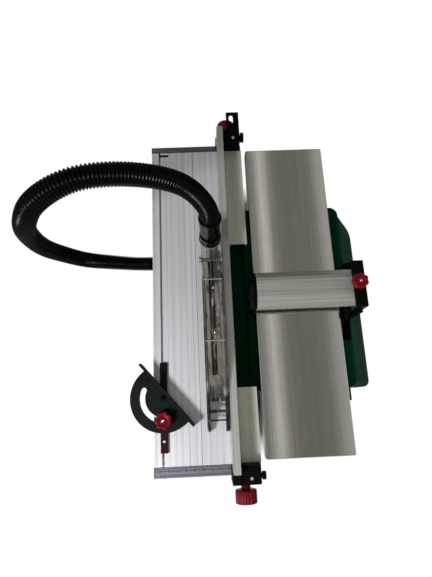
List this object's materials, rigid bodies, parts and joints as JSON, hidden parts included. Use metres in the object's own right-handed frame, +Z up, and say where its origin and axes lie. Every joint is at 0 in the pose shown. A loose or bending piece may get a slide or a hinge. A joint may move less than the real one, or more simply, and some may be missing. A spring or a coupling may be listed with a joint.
{
  "type": "combination planer and table saw",
  "caption": "Bench woodworking machine with a surface planer and a table saw side by side on one body, with a rip fence, mitre gauge, blade guard and looping dust hose.",
  "frame": {"origin": "middle of the four bench bolt holes, on the surface the rubber feet stand on", "axes": "+X across the machine from the saw to the planer, +Y along the tables from the operator to the back, +Z up"},
  "size_m": [0.8359, 1.0173, 0.7568],
  "materials": {
    "green_paint": "semi-gloss",
    "bed_steel": "ground",
    "table_aluminium": "satin, ribbed along the table",
    "rail_aluminium": "satin",
    "fence_aluminium": "satin",
    "bridge_aluminium": "satin",
    "black_plastic": "fine grain",
    "red_plastic": "gloss",
    "green_plastic": "gloss",
    "black_steel": "semi-gloss",
    "blade_steel": "ground",
    "machined_steel": "machined",
    "cast_aluminium": "cast",
    "motor_paint": "matte",
    "clear_plastic": "clear",
    "hose_plastic": "semi-gloss",
    "duct_plastic": "matte",
    "rubber": "matte"
  },
  "bodies": {
    "base": {"rubber_feet": "rubber", "bottom_plate": "green_paint", "housing_screws": "machined_steel", "base_housing": "green_paint", "planer_frame": "green_paint", "outfeed_table": "bed_steel", "bearing_plates": "cast_aluminium", "ball_bearings": "machined_steel", "belt_cover": "black_plastic", "chip_chute": "motor_paint", "guard_posts": "black_steel", "motor_casing": "motor_paint", "arbor_bearing_block": "cast_aluminium", "lower_shroud": "duct_plastic", "riving_knife": "blade_steel", "riving_knife_clamp": "black_plastic", "guard_bolt": "machined_steel", "hose_cuff_lower": "hose_plastic", "dust_hose": "hose_plastic", "dust_manifold": "duct_plastic", "lift_guides": "black_steel", "switch_box": "black_plastic", "cable_gland": "black_plastic", "drive_belt": "rubber"},
    "arbor": {"arbor_shaft": "machined_steel", "saw_blade": "blade_steel", "blade_flanges": "machined_steel", "arbor_nut": "machined_steel", "drive_pulley": "cast_aluminium"},
    "cutter": {"cutter_block": "machined_steel", "planer_knives": "blade_steel", "cutter_pulley": "cast_aluminium"},
    "infeed": {"infeed_table": "bed_steel", "infeed_support": "cast_aluminium"},
    "depth_control": {"depth_knob": "black_plastic"},
    "saw_table": {"saw_table_main": "table_aluminium", "saw_table_strips": "table_aluminium", "guide_rails": "rail_aluminium", "table_brackets": "black_steel"},
    "lift_control": {"lift_screw": "machined_steel", "lift_handwheel": "black_plastic"},
    "rip_fence": {"fence_profile": "fence_aluminium", "fence_bracket_front": "black_plastic", "fence_bracket_rear": "black_plastic"},
    "front_clamp": {"fence_knob_front": "red_plastic"},
    "rear_clamp": {"fence_knob_rear": "red_plastic"},
    "front_side_clamp": {"fence_side_knob_front": "black_plastic"},
    "rear_side_clamp": {"fence_side_knob_rear": "black_plastic"},
    "mitre_slide_bar": {"mitre_bar": "black_plastic"},
    "mitre_gauge_head": {"mitre_head": "black_plastic"},
    "mitre_clamp": {"mitre_knob": "red_plastic"},
    "portal": {"guard_portal": "black_steel"},
    "bridge": {"bridge_guard_profile": "bridge_aluminium", "bridge_end_plate": "black_plastic"},
    "bridge_clamp": {"bridge_knob": "red_plastic"},
    "height_clamp": {"guard_height_knob": "black_plastic"},
    "hood": {"blade_guard": "clear_plastic", "hose_cuff_upper": "hose_plastic"},
    "start": {"start_button": "green_plastic"},
    "stop": {"stop_button": "red_plastic"}
  },
  "joints": [
    {"name": "arbor_spin", "type": "hinge", "parent": "base", "child": "arbor", "pos_m": [-0.168, -0.105, 0.188], "axis": [1, 0, 0], "continuous": true},
    {"name": "cutter_spin", "type": "hinge", "parent": "base", "child": "cutter", "pos_m": [0.045, -0.034, 0.263], "axis": [1, 0, 0], "continuous": true},
    {"name": "infeed_height", "type": "slide", "parent": "base", "child": "infeed", "axis": [0, 0, 1], "range_m": [-0.003, 0]},
    {"name": "depth_turn", "type": "hinge", "parent": "base", "child": "depth_control", "pos_m": [0.045, -0.32, 0.21], "axis": [0, 0, 1], "range_deg": [-720, 0]},
    {"name": "saw_table_lift", "type": "slide", "parent": "base", "child": "saw_table", "axis": [0, 0, 1], "range_m": [-0.033, 0]},
    {"name": "lift_turn", "type": "hinge", "parent": "base", "child": "lift_control", "pos_m": [-0.172, -0.318, 0.1], "axis": [0, 0, 1], "range_deg": [-2970, 0]},
    {"name": "fence_slide", "type": "slide", "parent": "saw_table", "child": "rip_fence", "axis": [1, 0, 0], "range_m": [0, 0.015]},
    {"name": "front_clamp_turn", "type": "hinge", "parent": "rip_fence", "child": "front_clamp", "pos_m": [-0.108, -0.477, 0.262], "axis": [0, 1, 0], "range_deg": [0, 360]},
    {"name": "rear_clamp_turn", "type": "hinge", "parent": "rip_fence", "child": "rear_clamp", "pos_m": [-0.108, 0.438, 0.262], "axis": [0, 1, 0], "range_deg": [-360, 0]},
    {"name": "front_side_clamp_turn", "type": "hinge", "parent": "rip_fence", "child": "front_side_clamp", "pos_m": [-0.076, -0.453, 0.314], "axis": [1, 0, 0], "range_deg": [0, 180]},
    {"name": "rear_side_clamp_turn", "type": "hinge", "parent": "rip_fence", "child": "rear_side_clamp", "pos_m": [-0.076, 0.401, 0.314], "axis": [1, 0, 0], "range_deg": [0, 180]},
    {"name": "mitre_slide", "type": "slide", "parent": "saw_table", "child": "mitre_slide_bar", "axis": [0, 1, 0], "range_m": [-0.1, 0.5]},
    {"name": "mitre_swivel", "type": "hinge", "parent": "mitre_slide_bar", "child": "mitre_gauge_head", "pos_m": [-0.291, -0.277, 0.3], "axis": [0, 0, 1], "range_deg": [-10.6, 109.4]},
    {"name": "mitre_clamp_turn", "type": "hinge", "parent": "mitre_slide_bar", "child": "mitre_clamp", "pos_m": [-0.291, -0.327, 0.31], "axis": [0, 0, 1], "range_deg": [0, 180]},
    {"name": "bridge_lift", "type": "slide", "parent": "base", "child": "portal", "axis": [0, 0, 1], "range_m": [0, 0.04]},
    {"name": "bridge_slide", "type": "slide", "parent": "portal", "child": "bridge", "axis": [1, 0, 0], "range_m": [0, 0.15]},
    {"name": "bridge_clamp_turn", "type": "hinge", "parent": "portal", "child": "bridge_clamp", "pos_m": [0.178, -0.033, 0.37], "axis": [0, 0, 1], "range_deg": [0, 180]},
    {"name": "height_clamp_turn", "type": "hinge", "parent": "portal", "child": "height_clamp", "pos_m": [0.1895, 0.029, 0.27], "axis": [0, 1, 0], "range_deg": [-180, 0]},
    {"name": "guard_tilt", "type": "hinge", "parent": "base", "child": "hood", "pos_m": [-0.168, 0.045, 0.345], "axis": [1, 0, 0], "range_deg": [-12, 0], "deforming": ["dust_hose"]},
    {"name": "start_press", "type": "slide", "parent": "base", "child": "start", "axis": [0, 1, 0], "range_m": [0, 0.003], "stiffness_N_per_m": 400},
    {"name": "stop_press", "type": "slide", "parent": "base", "child": "stop", "axis": [0, 1, 0], "range_m": [0, 0.004], "stiffness_N_per_m": 400}
  ],
  "couplings": [
    {"joint": "cutter_spin", "follows": "arbor_spin", "ratio": 2},
    {"joint": "depth_turn", "follows": "infeed_height", "rad_per_m": 4188.7},
    {"joint": "lift_turn", "follows": "saw_table_lift", "rad_per_m": 1570.8}
  ]
}
